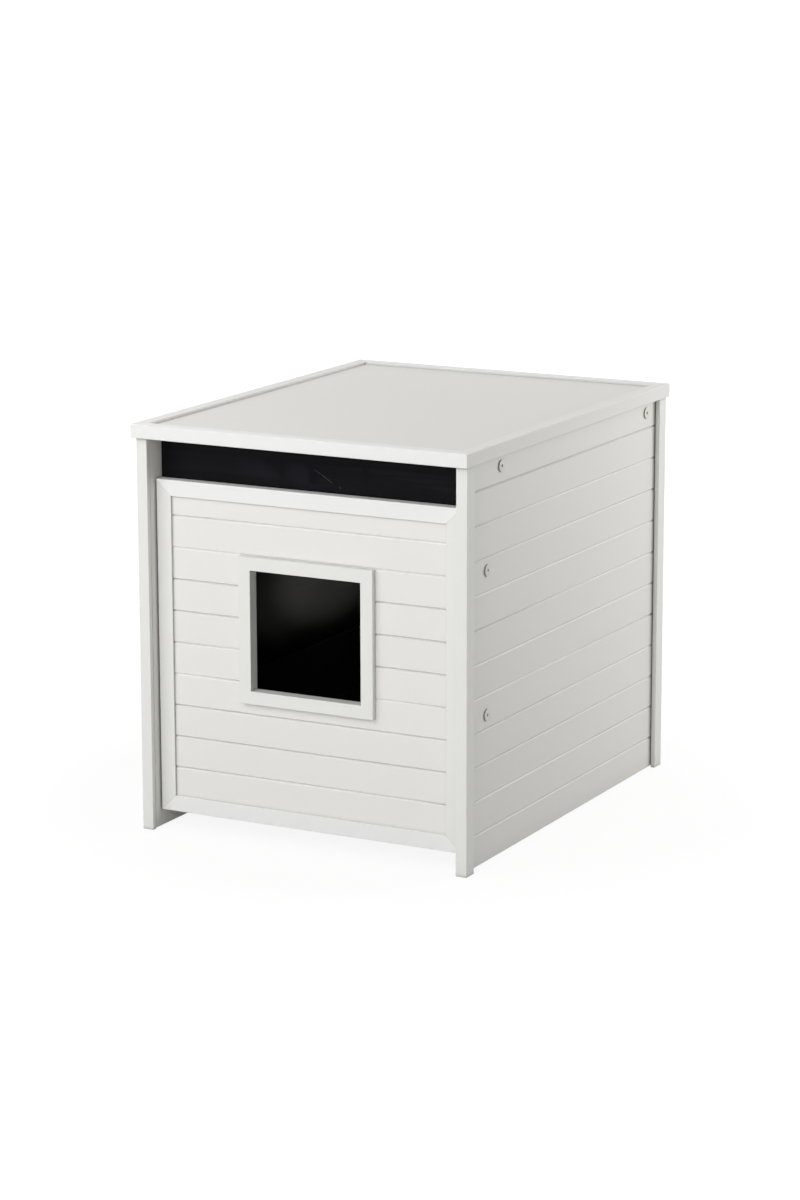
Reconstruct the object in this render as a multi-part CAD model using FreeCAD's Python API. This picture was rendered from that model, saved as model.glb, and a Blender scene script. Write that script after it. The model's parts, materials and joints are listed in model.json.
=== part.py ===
import FreeCAD, Part
import math
import os

# A cat litter box cabinet, in millimetres. X is the width, Y the depth with the front
# towards -Y, and Z the height. The origin is on the floor, under the middle of the top.

Vector = FreeCAD.Vector
UP = Vector(0, 0, 1)

# Overall size
top_width = 500.0
top_depth = 640.0
cabinet_height = 560.0

# Top: four mitred rails round a recessed panel
rail_width = 18.0
rail_height = 19.0
rail_edge_radius = 1.0
panel_recess = 4.0
panel_gap = 0.3
tongue_depth = 6.0
tongue_thickness = 6.0
tongue_gap = 0.2

# How far the top stands out past the posts
overhang_front = 8.0
overhang_side = 3.5
overhang_back = 4.0

# Posts: an L-section, whose rabbet takes the wall boards flush with the inside
post_width = 16.0
post_depth = 22.0
post_web = 7.6
post_edge_radius = 0.8
rabbet_gap = 1.0

# U-channel of the door frame and the back stiles
channel_depth = 22.0
channel_width = 16.0
channel_wall = 3.0
channel_edge_radius = 0.8

# Tongue-and-groove boards
board_thickness = 8.6
board_end_gap = 0.5
board_chamfer = 1.8
board_tongue_thickness = 3.0
board_tongue_height = 5.0
board_joint_gap = 0.2
wall_board_pitch = 45.7
wall_board_start = 1.5
wall_first_joint = 45.4
smallest_rip = 15.0
door_board_pitch = 43.5
door_first_groove = 61.7

# Back wall
back_stile_setback = 3.0

# Black interior
liner_thickness = 3.0
liner_end_gap = 0.5
floor_top = 28.0
floor_thickness = 6.0
floor_side_gap = 0.3
cleat_width = 12.0
cleat_height = 14.0
cleat_front_setback = 64.0
cleat_back_setback = 14.0
liner_leaf_gap = 2.3
crossboard_height = 80.0
crossboard_thickness = 12.0
crossboard_side_gap = 0.3
top_batten_width = 20.0
top_batten_height = 25.0
corner_batten_width = 18.0
corner_batten_depth = 15.0

# Litter tray
tray_side_gap = 12.5
tray_end_gap = 18.5
tray_height = 146.0
tray_wall = 3.0
tray_corner_radius = 50.0
tray_taper = 13.0
tray_rim_width = 8.0
tray_rim_drop = 9.0
tray_foot_chamfer = 6.0

# Door
door_setback = 20.0
door_floor_gap = 25.0
door_vent_gap = 57.7
door_free_gap = 2.0
door_stop_gap = 1.0

# Cat opening, its trim ring and its back ring
opening_width = 166.2
opening_height = 164.5
opening_sill = 183.2
trim_width = 18.0
trim_stand_out = 8.4
trim_edge_radius = 0.8
sleeve_wall = 3.0
sleeve_gap = 0.2
sleeve_stand_out = 0.3
back_ring_thickness = 3.0

# Hinges
hinge_lower_inset = 176.4
hinge_upper_inset = 89.1
hinge_leaf_height = 50.0
hinge_leaf_thickness = 1.0
hinge_leaf_gap = 0.5
hinge_barrel_radius = 2.8
hinge_pin_radius = 1.5
hinge_running_gap = 0.05
hinge_barrel_gap = 0.3
hinge_front_gap = 0.6
hinge_middle_knuckle = 19.4
hinge_knuckle_gap = 0.3
hinge_leaf_relief = 0.4
hinge_pin_head_radius = 2.3
hinge_pin_head_height = 0.8
hinge_fixed_leaf_tail = 8.0

# Wall bolts and hinge bolts
bolt_head_radius = 8.0
bolt_head_height = 2.0
bolt_radius = 3.0
bolt_socket_across_flats = 4.0
bolt_socket_depth = 1.5
bolt_hole_gap = 0.1
bolt_drop = 16.0
bolt_front_offset = 111.5
bolt_back_offset = 53.5
bolt_tip_cover = 1.0
hinge_bolt_offset = 71.6
nut_across_flats = 10.0
nut_height = 4.0

# Magnet catch and strike plate
catch_side_offset = 40.0
catch_radius = 7.0
catch_length = 9.0
catch_clearance = 0.3
catch_fit_gap = 0.1
strike_thickness = 1.2

# Places worked out from the sizes above
under_top = cabinet_height - rail_height
panel_top = cabinet_height - panel_recess
panel_thickness = panel_top - under_top
post_front = -top_depth / 2 + overhang_front
post_back = top_depth / 2 - overhang_back
post_inner = top_width / 2 - overhang_side - post_width
post_lip = post_width - board_thickness - rabbet_gap
wall_inner = post_inner
wall_outer = wall_inner + board_thickness
stile_back = post_back - back_stile_setback
stile_front = stile_back - channel_width
liner_inner = wall_inner - liner_thickness
back_liner_front = stile_front - liner_thickness
door_front = post_front + door_setback
door_back = door_front + channel_width
door_right = post_inner - 2 * hinge_leaf_thickness - hinge_leaf_gap
door_left = -post_inner + door_free_gap
door_top = under_top - door_vent_gap
door_width = door_right - door_left
door_height = door_top - door_floor_gap
door_centre = (door_right + door_left) / 2
door_board_front = (door_front + door_back) / 2 - board_thickness / 2
stop_front = door_back + door_stop_gap
stop_back = stop_front + crossboard_thickness
opening_bottom = door_floor_gap + opening_sill
opening_top = opening_bottom + opening_height
opening_middle = (opening_bottom + opening_top) / 2
hinge_heights = {"lower": door_floor_gap + hinge_lower_inset, "upper": door_top - hinge_upper_inset}
hinge_x = post_inner - hinge_barrel_radius - hinge_barrel_gap
hinge_y = door_front - hinge_front_gap - hinge_barrel_radius
hinge_bolt_y = post_front + hinge_bolt_offset
fixed_leaf_back = hinge_bolt_y + hinge_fixed_leaf_tail
liner_front = fixed_leaf_back + liner_leaf_gap
liner_back = back_liner_front - liner_end_gap
floor_bottom = floor_top - floor_thickness
top_batten_bottom = under_top - top_batten_height
bolt_height = under_top - bolt_drop
catch_height = door_top - channel_depth / 2
catch_x = door_left + catch_side_offset
tray_width = 2 * (liner_inner - tray_side_gap)
tray_depth = back_liner_front - stop_back - 2 * tray_end_gap

pieces = {}


def block(x0, x1, y0, y1, z0, z1):
    return Part.makeBox(x1 - x0, y1 - y0, z1 - z0, Vector(x0, y0, z0))


def mirrored(shape):
    return shape.mirror(Vector(0, 0, 0), Vector(1, 0, 0))


def moved(shape, x, y, z, turn=0.0):
    """A copy turned about Z and then moved."""
    copy = shape.copy()
    copy.Placement = FreeCAD.Placement(Vector(x, y, z), FreeCAD.Rotation(UP, turn)) * copy.Placement
    return copy


def outline(corners):
    """A closed wire in the XY plane, through (x, y, radius) corners."""
    rounded = []
    for index, (x, y, radius) in enumerate(corners):
        here = Vector(x, y, 0)
        if radius <= 0:
            rounded.append((here, None, here))
            continue
        last = corners[index - 1]
        coming = corners[(index + 1) % len(corners)]
        before = (Vector(last[0], last[1], 0) - here).normalize()
        after = (Vector(coming[0], coming[1], 0) - here).normalize()
        half_angle = before.getAngle(after) / 2
        reach = radius / math.tan(half_angle)
        bisector = (before + after).normalize()
        middle = here + bisector * (radius / math.sin(half_angle) - radius)
        rounded.append((here + before * reach, middle, here + after * reach))
    edges = []
    for index, (start, middle, end) in enumerate(rounded):
        previous_end = rounded[index - 1][2]
        edges.append(Part.makeLine(previous_end, start))
        if middle:
            edges.append(Part.Arc(start, middle, end).toShape())
    return Part.Wire(edges)


def rectangle(width, depth, radius=0.0):
    half_width = width / 2
    half_depth = depth / 2
    corners = [(-half_width, -half_depth), (half_width, -half_depth)]
    corners += [(half_width, half_depth), (-half_width, half_depth)]
    return outline([(x, y, radius) for x, y in corners])


def prism(wire, height):
    return Part.Face(wire).extrude(Vector(0, 0, height))


def bar(corners, length):
    """A bar along X, centred, from a section of (y, z, radius) corners."""
    shape = prism(outline(corners), length)
    shape.translate(Vector(0, 0, -length / 2))
    shape.rotate(Vector(0, 0, 0), Vector(1, 1, 1), 120)
    return shape


def channel_corners():
    """U-channel section: the web at y = 0, the mouth towards +Y."""
    width = channel_width
    wall = channel_wall
    depth = channel_depth
    radius = channel_edge_radius
    return [
        (0, 0, radius), (depth, 0, radius), (depth, wall, 0), (wall, wall, 0),
        (wall, width - wall, 0), (depth, width - wall, 0),
        (depth, width, radius), (0, width, radius),
    ]


def mitred_frame(corners, section_depth, section_height, width, depth):
    """Four bars round a rectangle in the XY plane, mitred at the corners."""
    frame = []
    for turn in range(4):
        length = width if turn % 2 == 0 else depth
        offset = depth / 2 if turn % 2 == 0 else width / 2
        half = length / 2
        inset = half - section_depth
        ends = [(-half, 0, 0), (half, 0, 0)]
        ends += [(inset, section_depth, 0), (-inset, section_depth, 0)]
        member = bar(corners, length).common(prism(outline(ends), section_height))
        member.translate(Vector(0, -offset, 0))
        member.rotate(Vector(0, 0, 0), UP, 90 * turn)
        frame.append(member)
    return frame


def board(length, height, upper_joint=True, lower_joint=True):
    """A grooved board along X, its face at y = 0, with a tongue on top and a groove below."""
    thick = board_thickness
    bevel = board_chamfer
    tongue_front = (thick - board_tongue_thickness) / 2
    tongue_back = tongue_front + board_tongue_thickness
    corners = []
    if upper_joint:
        corners += [(0, height - bevel), (bevel, height), (tongue_front, height)]
        corners += [(tongue_front, height + board_tongue_height)]
        corners += [(tongue_back, height + board_tongue_height), (tongue_back, height)]
    else:
        corners += [(0, height)]
    corners += [(thick, height), (thick, 0)]
    if lower_joint:
        groove_depth = board_tongue_height + board_joint_gap
        corners += [(tongue_back + board_joint_gap, 0), (tongue_back + board_joint_gap, groove_depth)]
        corners += [(tongue_front - board_joint_gap, groove_depth), (tongue_front - board_joint_gap, 0)]
        corners += [(bevel, 0), (0, bevel)]
    else:
        corners += [(0, 0)]
    return bar([(y, z, 0) for y, z in corners], length)


def board_rows(bottom, top, first_joint, pitch):
    """The (bottom, top) heights of the boards, the last one ripped to fit."""
    joints = []
    height = first_joint
    while height < top - smallest_rip:
        joints.append(height)
        height += pitch
    edges = [bottom] + joints + [top]
    return list(zip(edges[:-1], edges[1:]))


def wall_boards(length):
    """A stack of boards, centred in X, face at y = 0, from just over the floor to the top."""
    stack = []
    rows = board_rows(wall_board_start, under_top, wall_first_joint, wall_board_pitch)
    for bottom, top in rows:
        plank = board(length, top - bottom, upper_joint=top < under_top)
        plank.translate(Vector(0, 0, bottom))
        stack.append(plank)
    return stack


def leaning_block(centre_x, centre_y, low, high, low_radius, high_radius):
    """A block with round corners and leaning sides: the corners' centres stay where they are."""
    shapes = []
    for turn in range(4):
        across, along = (centre_x, centre_y) if turn % 2 == 0 else (centre_y, centre_x)
        place = Vector(across, along, low)
        corner = Part.makeCone(low_radius, high_radius, high - low, place, UP, 90)
        section = [(along, low, 0), (along + low_radius, low, 0)]
        section += [(along + high_radius, high, 0), (along, high, 0)]
        side = bar(section, 2 * across)
        for shape in (corner, side):
            shape.rotate(Vector(0, 0, 0), UP, 90 * turn)
            shapes.append(shape)
    core = block(-centre_x, centre_x, -centre_y, centre_y, low, high)
    return core.fuse(shapes).removeSplitter()


def placed(shape, position, direction):
    """A copy of a shape made along +Z, set at a position and pointed in a direction."""
    copy = shape.copy()
    copy.Placement = FreeCAD.Placement(position, FreeCAD.Rotation(UP, direction)) * copy.Placement
    return copy


def hexagon(across_flats, height):
    radius = across_flats / math.sqrt(3)
    corners = []
    for step in range(6):
        angle = math.radians(60 * step)
        corners.append((radius * math.cos(angle), radius * math.sin(angle), 0))
    return prism(outline(corners), height)


def bolt(length):
    """Flat-headed bolt along +Z: the head stands on z = 0 and the shank runs up from it."""
    head = Part.makeCylinder(bolt_head_radius, bolt_head_height, Vector(0, 0, -bolt_head_height))
    socket = hexagon(bolt_socket_across_flats, bolt_socket_depth)
    socket.translate(Vector(0, 0, -bolt_head_height))
    shank = Part.makeCylinder(bolt_radius, length)
    return head.cut(socket).fuse(shank).removeSplitter()


def fasten(group, shape, hole, position, direction, through):
    """Add one fastener to its group, and cut its hole in the pieces it goes through."""
    pieces.setdefault(group, []).append(placed(shape, position, direction))
    cutter = placed(hole, position, direction)
    for name in through:
        held = pieces[name]
        if isinstance(held, list):
            pieces[name] = [solid.cut(cutter) for solid in held]
        else:
            pieces[name] = held.cut(cutter)


# ---- top ----

def make_top():
    tongue_bottom = (panel_thickness - tongue_thickness) / 2
    tongue_top = tongue_bottom + tongue_thickness
    groove_back = rail_width - tongue_depth - tongue_gap - panel_gap
    corners = [
        (0, 0, rail_edge_radius), (rail_width, 0, 0),
        (rail_width, tongue_bottom - tongue_gap, 0), (groove_back, tongue_bottom - tongue_gap, 0),
        (groove_back, tongue_top + tongue_gap, 0), (rail_width, tongue_top + tongue_gap, 0),
        (rail_width, rail_height, rail_edge_radius), (0, rail_height, rail_edge_radius),
    ]
    rails = mitred_frame(corners, rail_width, rail_height, top_width, top_depth)
    for name, rail in zip(["front", "right", "back", "left"], rails):
        pieces["top_rail_" + name] = moved(rail, 0, 0, under_top)
    inner_width = top_width - 2 * rail_width - 2 * panel_gap
    inner_depth = top_depth - 2 * rail_width - 2 * panel_gap
    panel = prism(rectangle(inner_width, inner_depth), panel_thickness)
    tongue_outline = rectangle(inner_width + 2 * tongue_depth, inner_depth + 2 * tongue_depth)
    tongue = prism(tongue_outline, tongue_thickness)
    tongue.translate(Vector(0, 0, tongue_bottom))
    pieces["top_panel"] = moved(panel.fuse(tongue).removeSplitter(), 0, 0, under_top)


# ---- posts and walls ----

def make_posts():
    """Four posts of one L-section, and two back stiles of U-channel."""
    radius = post_edge_radius
    corners = [
        (0, 0, radius), (post_width, 0, radius), (post_width, post_depth, radius),
        (post_width - post_lip, post_depth, 0), (post_width - post_lip, post_web, 0), (0, post_web, 0),
    ]
    post = moved(prism(outline(corners), under_top), post_inner, post_front, 0)
    middle_depth = post_front + post_back
    pieces["front_post_right"] = post
    pieces["front_post_left"] = mirrored(post)
    pieces["rear_post_left"] = moved(post, 0, middle_depth, 0, 180)
    pieces["rear_post_right"] = mirrored(pieces["rear_post_left"])

    section = outline([(z - channel_width / 2, y, r) for y, z, r in channel_corners()])
    stile = prism(section, under_top)
    stile_middle = (stile_front + stile_back) / 2
    pieces["back_stile_left"] = moved(stile, -post_inner, stile_middle, 0, -90)
    pieces["back_stile_right"] = moved(stile, post_inner, stile_middle, 0, 90)


def make_walls():
    side_length = post_back - post_front - 2 * (post_web + board_end_gap)
    side_middle = (post_back + post_front) / 2
    side = wall_boards(side_length)
    pieces["right_wall_boards"] = [moved(plank, wall_outer, side_middle, 0, 90) for plank in side]
    pieces["left_wall_boards"] = [moved(plank, -wall_outer, side_middle, 0, -90) for plank in side]
    back_face = (stile_front + stile_back) / 2 + board_thickness / 2
    back = wall_boards(2 * (post_inner - channel_wall - board_end_gap))
    pieces["back_wall_boards"] = [moved(plank, 0, back_face, 0, 180) for plank in back]


# ---- black interior ----

def make_interior():
    liner = block(liner_inner, wall_inner, liner_front, liner_back, floor_top, under_top)
    pieces["wall_liner_right"] = liner
    pieces["wall_liner_left"] = mirrored(liner)
    back_half = wall_inner - liner_end_gap
    pieces["wall_liner_back"] = block(
        -back_half, back_half, back_liner_front, stile_front, floor_top, under_top,
    )

    floor_half = wall_inner - floor_side_gap
    pieces["floor_panel"] = block(
        -floor_half, floor_half, stop_front, stile_front, floor_bottom, floor_top,
    )
    cleat = block(
        wall_inner - cleat_width, wall_inner, stop_front + cleat_front_setback,
        liner_back - cleat_back_setback, floor_bottom - cleat_height, floor_bottom,
    )
    pieces["floor_cleats"] = [cleat, mirrored(cleat)]

    side = wall_inner - crossboard_side_gap
    pieces["front_crossboard"] = block(
        -side, side, stop_front, stop_back, under_top - crossboard_height, under_top,
    )
    batten = block(
        liner_inner - top_batten_width, liner_inner, stop_back, liner_back, top_batten_bottom, under_top,
    )
    pieces["top_batten_right"] = batten
    pieces["top_batten_left"] = mirrored(batten)
    corner = block(
        liner_inner - corner_batten_width, liner_inner, back_liner_front - corner_batten_depth,
        back_liner_front, floor_top, top_batten_bottom,
    )
    pieces["corner_batten_right"] = corner
    pieces["corner_batten_left"] = mirrored(corner)


def make_tray():
    """A tapered tub with a turned-down rim, on the floor panel."""
    centre_x = tray_width / 2 - tray_rim_width - tray_corner_radius
    centre_y = tray_depth / 2 - tray_rim_width - tray_corner_radius
    low_radius = tray_corner_radius - tray_taper
    foot_radius = low_radius - tray_foot_chamfer
    tub = leaning_block(centre_x, centre_y, 0, tray_foot_chamfer, foot_radius, low_radius)
    wall = leaning_block(
        centre_x, centre_y, tray_foot_chamfer, tray_height, low_radius, tray_corner_radius,
    )
    knee = tray_wall + tray_foot_chamfer
    hollow = leaning_block(
        centre_x, centre_y, tray_wall, knee, foot_radius - tray_wall, low_radius - tray_wall,
    )
    hollow_wall = leaning_block(
        centre_x, centre_y, knee, tray_height, low_radius - tray_wall, tray_corner_radius - tray_wall,
    )
    rim_radius = tray_corner_radius + tray_rim_width
    rim = prism(rectangle(tray_width, tray_depth, rim_radius), tray_rim_drop)
    lip_inside = rectangle(tray_width - 2 * tray_wall, tray_depth - 2 * tray_wall, rim_radius - tray_wall)
    rim = rim.cut(prism(lip_inside, tray_rim_drop - tray_wall))
    rim.translate(Vector(0, 0, tray_height - tray_rim_drop))
    tray = tub.fuse([wall, rim]).cut(hollow.fuse(hollow_wall)).removeSplitter()
    pieces["litter_tray"] = moved(tray, 0, (stop_back + back_liner_front) / 2, floor_top)


# ---- door ----

def make_door():
    members = mitred_frame(channel_corners(), channel_depth, channel_width, door_width, door_height)
    names = ["door_rail_bottom", "door_stile_right", "door_rail_top", "door_stile_left"]
    for name, member in zip(names, members):
        member.rotate(Vector(0, 0, 0), Vector(1, 0, 0), 90)
        member.translate(Vector(door_centre, door_back, (door_floor_gap + door_top) / 2))
        pieces[name] = member

    half_hole = opening_width / 2 + sleeve_wall + sleeve_gap
    low = opening_bottom - sleeve_wall - sleeve_gap
    high = opening_top + sleeve_wall + sleeve_gap
    hole = block(-half_hole, half_hole, door_front, door_back, low, high)
    end = channel_wall + board_end_gap
    lowest = door_floor_gap + end
    highest = door_top - end
    rows = board_rows(lowest, highest, door_floor_gap + door_first_groove, door_board_pitch)
    pieces["door_boards"] = []
    for bottom, top in rows:
        plank = board(
            door_width - 2 * end, top - bottom, upper_joint=top < highest, lower_joint=bottom > lowest,
        )
        plank.translate(Vector(door_centre, door_board_front, bottom))
        pieces["door_boards"] += plank.cut(hole).Solids


def make_trim():
    """Trim ring with a sleeve through the boards, and the ring that clamps it from behind."""
    outer_width = opening_width + 2 * trim_width
    outer_height = opening_height + 2 * trim_width
    flange = prism(rectangle(outer_width, outer_height), trim_stand_out)
    front = [edge for edge in flange.Edges if abs(edge.CenterOfMass.z - trim_stand_out) < 0.01]
    flange = flange.makeFillet(trim_edge_radius, front)
    sleeve_depth = board_thickness + sleeve_stand_out
    sleeve_width = opening_width + 2 * sleeve_wall
    sleeve_height = opening_height + 2 * sleeve_wall
    sleeve = prism(rectangle(sleeve_width, sleeve_height), sleeve_depth)
    sleeve.translate(Vector(0, 0, -sleeve_depth))
    hole = prism(rectangle(opening_width, opening_height), sleeve_depth + trim_stand_out)
    hole.translate(Vector(0, 0, -sleeve_depth))
    trim = flange.fuse(sleeve).cut(hole).removeSplitter()

    back_ring = prism(rectangle(outer_width, outer_height), back_ring_thickness)
    ring_width = sleeve_width + 2 * sleeve_gap
    ring_height = sleeve_height + 2 * sleeve_gap
    back_ring = back_ring.cut(prism(rectangle(ring_width, ring_height), back_ring_thickness))
    back_ring.translate(Vector(0, 0, -board_thickness - back_ring_thickness))
    for name, ring in (("cat_opening_trim", trim), ("trim_back_ring", back_ring)):
        ring.rotate(Vector(0, 0, 0), Vector(1, 0, 0), 90)
        ring.translate(Vector(0, door_board_front, opening_middle))
        pieces[name] = ring


# ---- hinges and catch ----

def make_hinge(name, height):
    half = hinge_leaf_height / 2
    half_middle = hinge_middle_knuckle / 2
    relief = hinge_y + hinge_barrel_radius + hinge_leaf_relief
    bore_radius = hinge_pin_radius + hinge_running_gap
    centre = Vector(hinge_x, hinge_y, height)

    def cylinder(radius, low, high):
        return Part.makeCylinder(radius, high - low, centre + Vector(0, 0, low))

    bore = cylinder(bore_radius, -half, half)
    fixed_inner = post_inner - hinge_leaf_thickness
    plate = block(fixed_inner, post_inner, hinge_y, fixed_leaf_back, height - half, height + half)
    cut_half = half_middle + hinge_knuckle_gap
    plate = plate.cut(block(fixed_inner, post_inner, hinge_y, relief, height - cut_half, height + cut_half))
    lower = cylinder(hinge_barrel_radius, -half, -cut_half)
    upper = cylinder(hinge_barrel_radius, cut_half, half)
    pieces["hinge_fixed_leaf_" + name] = plate.fuse([lower, upper]).cut(bore).removeSplitter()

    moving_outer = door_right + hinge_leaf_thickness
    plate = block(door_right, moving_outer, relief, door_back, height - half, height + half)
    root = hinge_y + bore_radius + (hinge_barrel_radius - bore_radius) / 4
    neck = block(door_right, moving_outer, root, relief, height - half_middle, height + half_middle)
    knuckle = cylinder(hinge_barrel_radius, -half_middle, half_middle)
    pieces["hinge_moving_leaf_" + name] = plate.fuse([neck, knuckle]).cut(bore).removeSplitter()

    pin = cylinder(hinge_pin_radius, -half, half)
    pin_head = cylinder(hinge_pin_head_radius, half, half + hinge_pin_head_height)
    pieces.setdefault("hinge_pins", []).append(pin.fuse(pin_head).removeSplitter())


def make_catch():
    """Round magnet pressed into the crossboard, and the strike plate let into the door."""
    stand_out = door_stop_gap - catch_clearance
    magnet = Part.makeCylinder(catch_radius, catch_length, Vector(0, 0, -stand_out))
    hole = Part.makeCylinder(catch_radius + catch_fit_gap, catch_length - stand_out)
    seat = Vector(catch_x, stop_front, catch_height)
    fasten("magnet_catch", magnet, hole, seat, Vector(0, 1, 0), ["front_crossboard"])
    plate = Part.makeCylinder(catch_radius, strike_thickness)
    hole = Part.makeCylinder(catch_radius + catch_fit_gap, strike_thickness)
    seat = Vector(catch_x, door_back, catch_height)
    fasten("strike_plate", plate, hole, seat, Vector(0, -1, 0), ["door_rail_top"])


# ---- bolts ----

def drive_wall_bolts():
    """One-piece connector bolts into the top battens, on both sides."""
    length = wall_outer - liner_inner + top_batten_width - bolt_tip_cover
    hole = Part.makeCylinder(bolt_radius + bolt_hole_gap, length)
    for y in (post_front + bolt_front_offset, post_back - bolt_back_offset):
        for side, name in ((1, "right"), (-1, "left")):
            through = [name + "_wall_boards", "wall_liner_" + name, "top_batten_" + name]
            seat = Vector(side * wall_outer, y, bolt_height)
            fasten("wall_bolts", bolt(length), hole, seat, Vector(-side, 0, 0), through)

    short = board_thickness + hinge_leaf_thickness + nut_height
    hole = Part.makeCylinder(bolt_radius + bolt_hole_gap, short)
    nut = hexagon(nut_across_flats, nut_height)
    nut = nut.cut(Part.makeCylinder(bolt_radius + bolt_hole_gap, nut_height))
    for name, height in hinge_heights.items():
        seat = Vector(wall_outer, hinge_bolt_y, height)
        through = ["right_wall_boards", "hinge_fixed_leaf_" + name]
        fasten("hinge_bolts", bolt(short), hole, seat, Vector(-1, 0, 0), through)
        nut_face = Vector(post_inner - hinge_leaf_thickness, hinge_bolt_y, height)
        pieces.setdefault("hinge_bolt_nuts", []).append(placed(nut, nut_face, Vector(-1, 0, 0)))


def save_pieces():
    os.makedirs("parts", exist_ok=True)
    for name, held in pieces.items():
        solids = held if isinstance(held, list) else [held]
        solids = [solid for shape in solids for solid in shape.Solids]
        shape = solids[0] if len(solids) == 1 else Part.makeCompound(solids)
        shape.exportStep("parts/" + name + ".step")
        print(name, len(solids), round(shape.Volume / 1000.0, 2), shape.isValid())
    print(len(pieces), "nodes")


make_top()
make_posts()
make_walls()
make_interior()
make_tray()
make_door()
make_trim()
for hinge_name, hinge_height in hinge_heights.items():
    make_hinge(hinge_name, hinge_height)
make_catch()
drive_wall_bolts()
save_pieces()
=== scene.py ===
import json
import math
import bmesh
import bpy
from mathutils import Euler, Matrix, Vector


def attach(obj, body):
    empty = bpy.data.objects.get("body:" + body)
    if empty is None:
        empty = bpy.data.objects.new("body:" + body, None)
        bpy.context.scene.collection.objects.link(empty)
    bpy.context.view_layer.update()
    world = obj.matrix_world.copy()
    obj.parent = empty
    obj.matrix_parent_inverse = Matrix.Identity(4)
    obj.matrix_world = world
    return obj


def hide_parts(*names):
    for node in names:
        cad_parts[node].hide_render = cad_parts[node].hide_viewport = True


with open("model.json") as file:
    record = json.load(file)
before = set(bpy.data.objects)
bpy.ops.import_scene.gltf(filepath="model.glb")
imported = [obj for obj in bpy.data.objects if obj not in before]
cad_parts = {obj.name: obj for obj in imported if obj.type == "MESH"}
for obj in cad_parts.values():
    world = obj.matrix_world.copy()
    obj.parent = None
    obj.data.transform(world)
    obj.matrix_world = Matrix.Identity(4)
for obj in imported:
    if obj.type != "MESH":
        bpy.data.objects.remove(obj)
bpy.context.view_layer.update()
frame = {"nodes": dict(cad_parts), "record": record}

nodes = frame["nodes"]
bodyOfNode = {node: body for body, held in frame["record"]["behaviour"]["bodies"].items() for node in held}
mm = 0.001
print("frame loaded:", len(nodes), "nodes")


# a paint value from 0-255 screen numbers to the linear numbers that shaders take
def tint(red, green, blue):
    shades = [value / 255 for value in (red, green, blue)]
    return tuple(s / 12.92 if s <= 0.04045 else ((s + 0.055) / 1.055) ** 2.4 for s in shades) + (1.0,)


# a shader value that can be added, multiplied and so on
class Wire:
    def __init__(self, socket):
        self.socket = socket

    def maths(self, operation, other=None, swapped=False):
        tree = self.socket.id_data
        node = tree.nodes.new("ShaderNodeMath")
        node.operation = operation
        for place, value in enumerate((other, self) if swapped else (self, other)):
            if isinstance(value, Wire):
                tree.links.new(value.socket, node.inputs[place])
            elif value is not None:
                node.inputs[place].default_value = value
        return Wire(node.outputs[0])

    def __add__(self, other):
        return self.maths("ADD", other)

    def __sub__(self, other):
        return self.maths("SUBTRACT", other)

    def __rsub__(self, other):
        return self.maths("SUBTRACT", other, True)

    def __mul__(self, other):
        return self.maths("MULTIPLY", other)

    def __truediv__(self, other):
        return self.maths("DIVIDE", other)

    def __pow__(self, other):
        return self.maths("POWER", other)

    def __abs__(self):
        return self.maths("ABSOLUTE")

    def __lt__(self, other):
        return self.maths("LESS_THAN", other)

    __radd__ = __add__

    def fade(self, start, end):  # 0 at start, 1 at end, held outside
        return ((self - start) / (end - start)).maths("MINIMUM", 1.0).maths("MAXIMUM", 0.0)


class Finish:
    def __init__(self, name, **constants):
        self.material = bpy.data.materials.new(name)
        self.material.use_nodes = True
        self.tree = self.material.node_tree
        self.tree.nodes.clear()
        self.shader = self.node("ShaderNodeBsdfPrincipled", {}, constants).socket.node
        self.output = self.tree.nodes.new("ShaderNodeOutputMaterial")
        self.tree.links.new(self.shader.outputs[0], self.output.inputs["Surface"])
        self.place = self.node("ShaderNodeTexCoord", output="Object")
        self.x, self.y, self.z = self.parts(self.place)

    def node(self, kind, settings=None, values=None, output=0):
        node = self.tree.nodes.new(kind)
        for key, value in (settings or {}).items():
            setattr(node, key, value)
        for key, value in (values or {}).items():
            if isinstance(value, Wire):
                self.tree.links.new(value.socket, node.inputs[key])
            else:
                node.inputs[key].default_value = value
        return Wire(node.outputs[output])

    def parts(self, vector):
        first = self.node("ShaderNodeSeparateXYZ", {}, {0: vector})
        return [Wire(socket) for socket in first.socket.node.outputs]

    def noise(self, scale, stretch=(1, 1, 1), detail=2.0, roughness=0.5, seed=0.0):
        placed = self.node("ShaderNodeMapping", {},
                           {"Vector": self.place, "Location": (seed,) * 3, "Scale": stretch})
        return self.node("ShaderNodeTexNoise", {"noise_dimensions": "3D"},
                         {"Vector": placed, "Scale": scale, "Detail": detail, "Roughness": roughness})

    def specks(self, spacing, size, kept, seed=0.0):  # 1 in small round dots, on a share of the cells
        placed = self.node("ShaderNodeMapping", {}, {"Vector": self.place, "Location": (seed,) * 3})
        cells = self.node("ShaderNodeTexVoronoi", {}, {"Vector": placed, "Scale": 1 / spacing}).socket.node
        chosen = self.parts(Wire(cells.outputs["Color"]))[0] < kept
        edge = size / spacing
        return chosen * (1 - Wire(cells.outputs["Distance"]).fade(edge / 2, edge))

    def blend(self, factor, first, second, mode="MIX"):  # colours 6 and 7 of a Mix node, its factor 0
        return self.node("ShaderNodeMix", {"data_type": "RGBA", "blend_type": mode},
                         {0: factor, 6: first, 7: second}, output=2)

    def bump(self, height, distance, strength=1.0, before=None):
        values = {"Height": height, "Distance": distance, "Strength": strength}
        if before:
            values["Normal"] = before
        return self.node("ShaderNodeBump", {}, values)

    def feed(self, **links):
        for key, value in links.items():
            self.tree.links.new(value.socket, self.shader.inputs[key.replace("_", " ")])
        return self.material


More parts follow.
